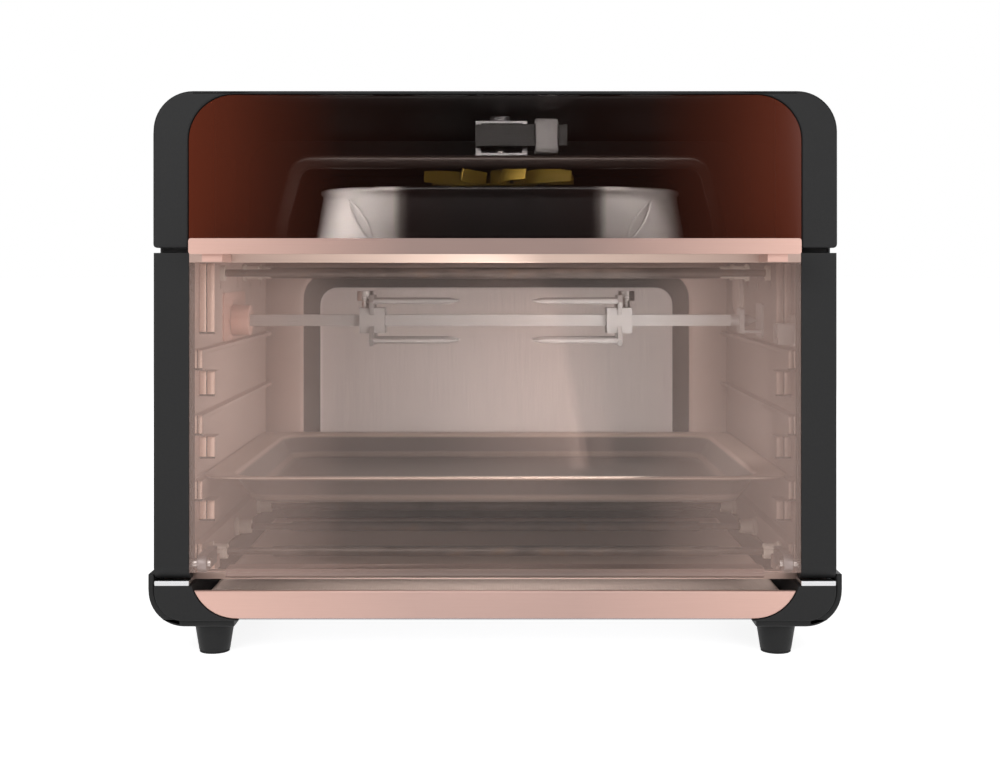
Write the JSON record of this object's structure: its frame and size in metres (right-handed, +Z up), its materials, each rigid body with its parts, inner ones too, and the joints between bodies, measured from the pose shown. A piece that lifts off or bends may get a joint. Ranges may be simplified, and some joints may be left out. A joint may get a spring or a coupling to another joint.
{
  "type": "rotisserie oven",
  "caption": "Countertop rotisserie oven with a drop-down glass door, see-through fascia over a top fan, spit drive, baking tray and pull-out crumb tray.",
  "frame": {"origin": "on the table, under the middle of the oven's box", "axes": "+Z up, -Y towards the door, +X to the right as seen from the front"},
  "size_m": [0.428, 0.384, 0.35],
  "materials": {
    "wrap_steel": "black powder coat with a fine texture",
    "black_plastic": "moulded, lightly textured black",
    "smoked_glass": "smoked glass, rust-brown towards its ends",
    "door_glass": "clear tempered glass with a faint rose tint",
    "lamp_glass": "ribbed clear glass",
    "rose_metal": "satin rose finish",
    "bright_trim": "bright satin chrome",
    "liner_steel": "rolled liner steel, slightly warm",
    "dome_steel": "pressed bright steel",
    "hood_steel": "dark heat-proof finish",
    "plain_steel": "plain bright steel",
    "zinc_steel": "zinc-plated sheet",
    "fan_brass": "dull brass-coloured sheet",
    "motor_steel": "dark laminated motor steel",
    "coil_wrap": "dark tape over the winding",
    "heater_sheath": "heat-darkened sheath",
    "ceramic": "unglazed ceramic",
    "tray_steel": "satin enamelled steel",
    "rubber": "matte rubber",
    "silicone": "grey silicone gasket",
    "circuit_board": "green board",
    "insulation": "glass-fibre blanket",
    "bulb": "clear bulb",
    "gear_case": "plated motor can"
  },
  "bodies": {
    "housing": {"outer_wrap": "wrap_steel", "front_bezel": "black_plastic", "fascia_glass": "smoked_glass", "rear_panel": "wrap_steel", "rear_spacers": "black_plastic", "bottom_pan": "zinc_steel", "base_rails": "black_plastic", "trim_strips": "bright_trim", "corner_legs": "black_plastic", "feet": "black_plastic", "foot_pads": "rubber", "liner_left_wall": "liner_steel", "liner_right_wall": "liner_steel", "liner_back_wall": "liner_steel", "liner_roof": "liner_steel", "front_frame": "rose_metal", "side_insulation": "insulation", "fan_guard": "plain_steel", "air_dome": "dome_steel", "air_hood": "hood_steel", "hood_screws": "plain_steel", "motor_bracket": "motor_steel", "motor_end_frames": "zinc_steel", "motor_stator": "motor_steel", "motor_coil": "coil_wrap", "top_heaters": "heater_sheath", "bottom_heaters": "heater_sheath", "heater_insulators": "ceramic", "gearmotor": "gear_case", "drive_plate": "rose_metal", "spit_brackets": "zinc_steel", "temperature_probe": "plain_steel", "lamp_holder": "ceramic", "lamp_bulb": "bulb", "lamp_lens": "lamp_glass", "control_board": "circuit_board", "display_module": "black_plastic", "power_board": "circuit_board", "thermal_cutout": "ceramic", "cord_gland": "rubber", "case_screws": "zinc_steel", "hinge_brackets": "zinc_steel", "door_seal": "silicone"},
    "door": {"hinge_pins": "plain_steel", "door_stiles": "black_plastic", "door_outer_glass": "door_glass", "door_inner_glass": "door_glass", "door_top_rail": "rose_metal", "door_bottom_rail": "rose_metal", "door_handle": "rose_metal"},
    "spit": {"drive_socket": "rose_metal", "spit_rod": "plain_steel", "spit_forks": "plain_steel", "fork_screws": "plain_steel"},
    "fan_rotor": {"fan_shaft": "plain_steel", "motor_rotor": "motor_steel", "cooling_fan": "fan_brass", "convection_fan": "plain_steel"},
    "baking_tray": {"baking_tray": "tray_steel"},
    "crumb_tray": {"crumb_tray": "rose_metal"}
  },
  "joints": [
    {"name": "door_hinge", "type": "hinge", "parent": "housing", "child": "door", "pos_m": [0, -0.151, 0.0584], "axis": [1, 0, 0], "range_deg": [0, 90]},
    {"name": "spit_spin", "type": "hinge", "parent": "housing", "child": "spit", "pos_m": [0, -0.008, 0.204], "axis": [1, 0, 0], "continuous": true},
    {"name": "fan_spin", "type": "hinge", "parent": "housing", "child": "fan_rotor", "pos_m": [0.003, -0.04, 0.3], "axis": [0, 0, 1], "continuous": true},
    {"name": "baking_tray_slide", "type": "slide", "parent": "housing", "child": "baking_tray", "axis": [0, -1, 0], "range_m": [0, 0.064]},
    {"name": "crumb_tray_slide", "type": "slide", "parent": "housing", "child": "crumb_tray", "axis": [0, -1, 0], "range_m": [0, 0.14]}
  ],
  "couplings": [
    {"joint": "baking_tray_slide", "follows": "door_hinge", "m_per_rad": 0.04}
  ]
}
